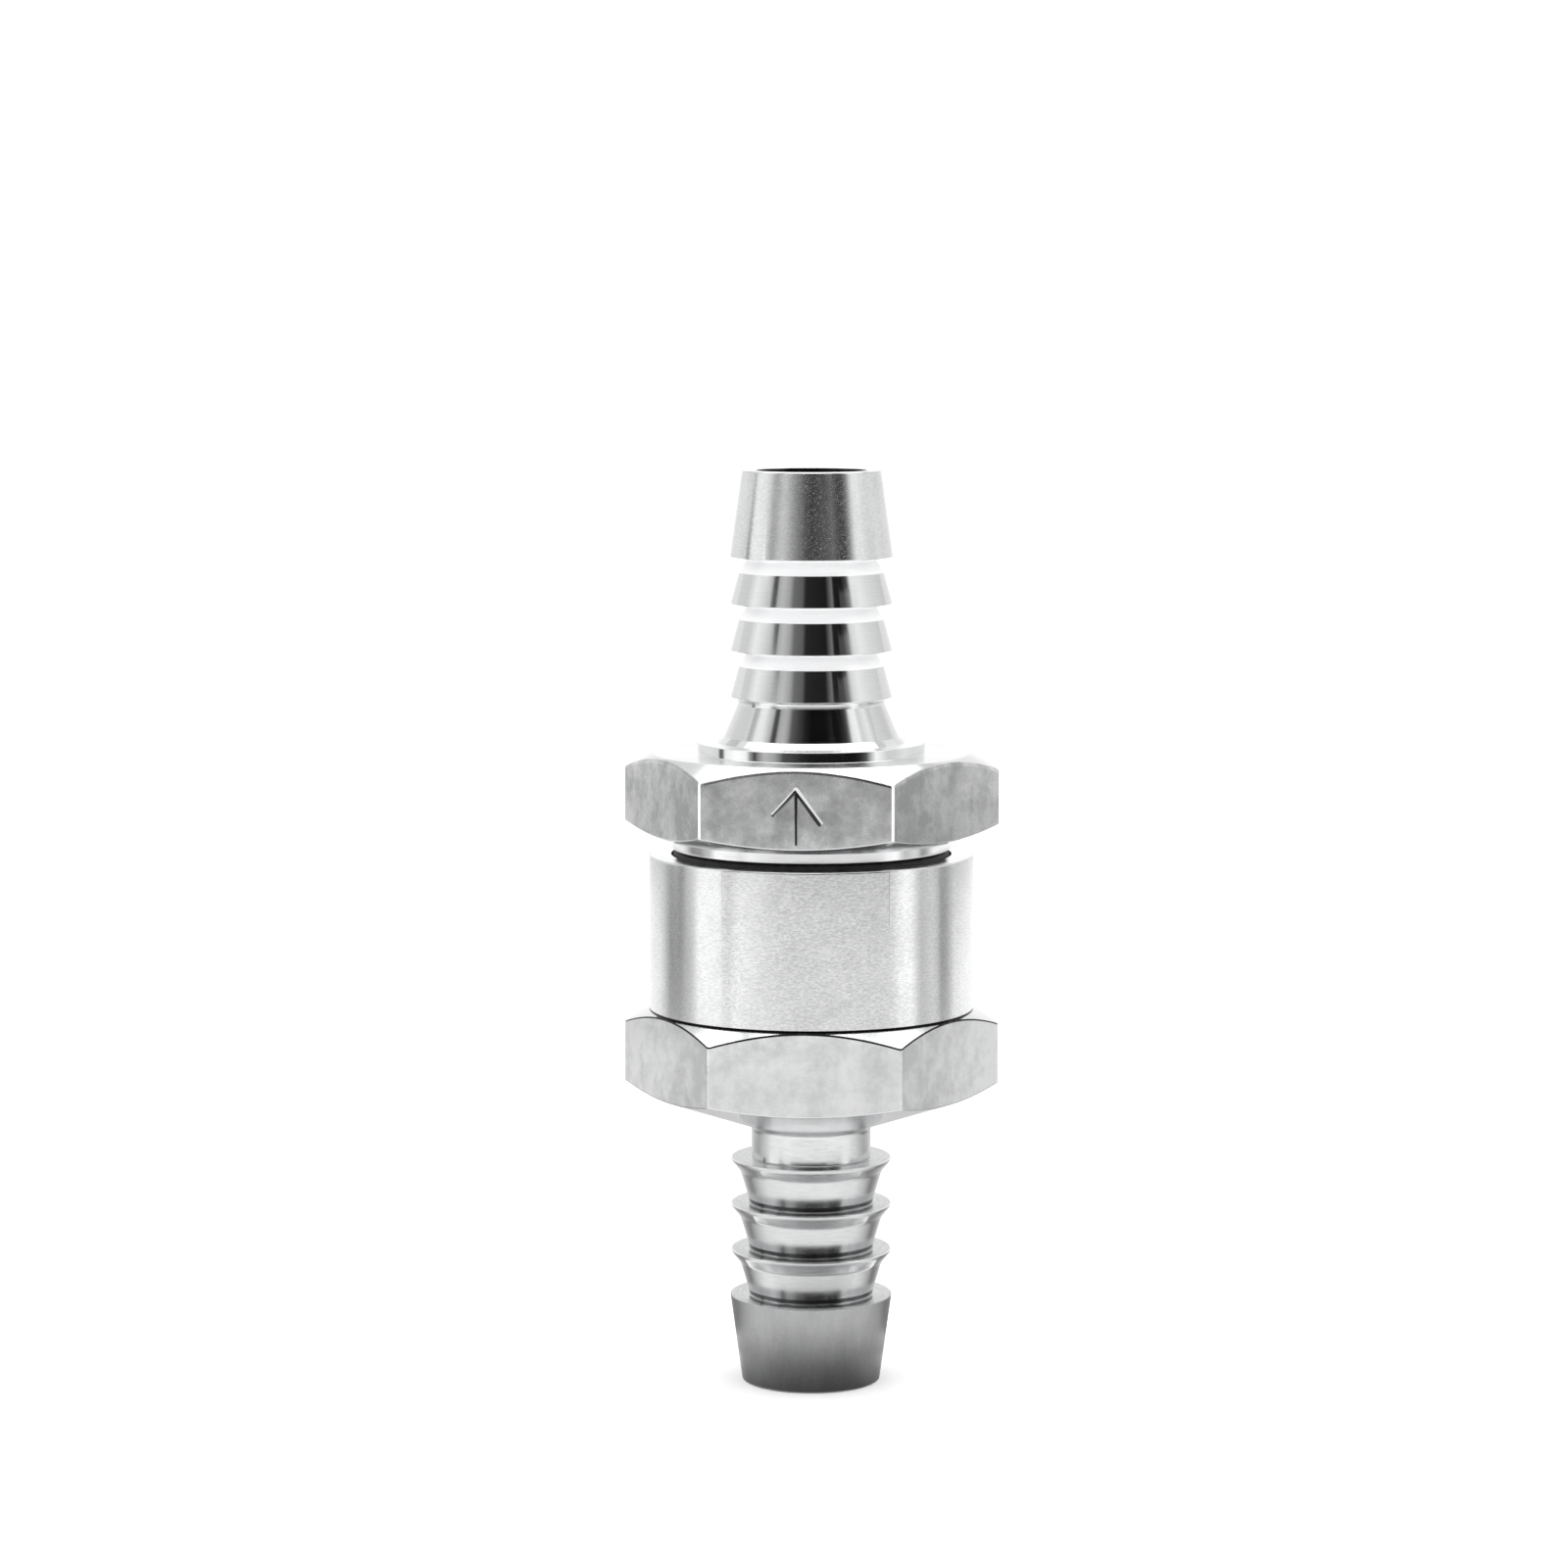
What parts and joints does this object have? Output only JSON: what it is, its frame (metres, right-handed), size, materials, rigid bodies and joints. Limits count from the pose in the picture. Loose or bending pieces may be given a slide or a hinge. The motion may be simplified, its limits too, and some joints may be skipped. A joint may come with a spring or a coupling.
{
  "type": "inline one-way valve",
  "caption": "Aluminium inline one-way valve: hose barb at each end, two hexagons, a screwed cap with a seal ring, and a sprung poppet inside.",
  "frame": {"origin": "centre of the inlet end face, on the flow axis", "axes": "+Z along the flow, from inlet barb to outlet barb; -Y out of the flat of the lower hexagon that lies under the flow arrow"},
  "size_m": [0.0278, 0.0246, 0.0674],
  "materials": {
    "bright_aluminium": "bright machined",
    "black_rubber": "matte",
    "turned_brass": "turned",
    "stainless_steel": "bright"
  },
  "bodies": {
    "root": {"inlet_body": "bright_aluminium", "stem_guide": "turned_brass", "guide_clip": "stainless_steel", "return_spring": "stainless_steel"},
    "poppet_group": {"poppet": "turned_brass", "poppet_seal": "black_rubber", "seal_washer": "stainless_steel", "seal_screw": "stainless_steel"},
    "cap_seal": {"cap_seal_ring": "black_rubber"},
    "cap": {"outlet_cap": "bright_aluminium"}
  },
  "joints": [
    {"name": "poppet_lift", "type": "slide", "parent": "root", "child": "poppet_group", "axis": [0, 0, 1], "range_m": [0, 0.002], "stiffness_N_per_m": 900, "springref_m": -0.0015, "deforming": ["return_spring"]},
    {"name": "cap_lift", "type": "slide", "parent": "root", "child": "cap_seal", "axis": [0, 0, 1], "range_m": [0, 0.004]},
    {"name": "cap_turn", "type": "hinge", "parent": "cap_seal", "child": "cap", "pos_m": [0, 0, 0.0435], "axis": [0, 0, 1], "range_deg": [0, 1440]}
  ],
  "couplings": [
    {"joint": "cap_lift", "follows": "cap_turn", "m_per_rad": 0.00015915}
  ]
}
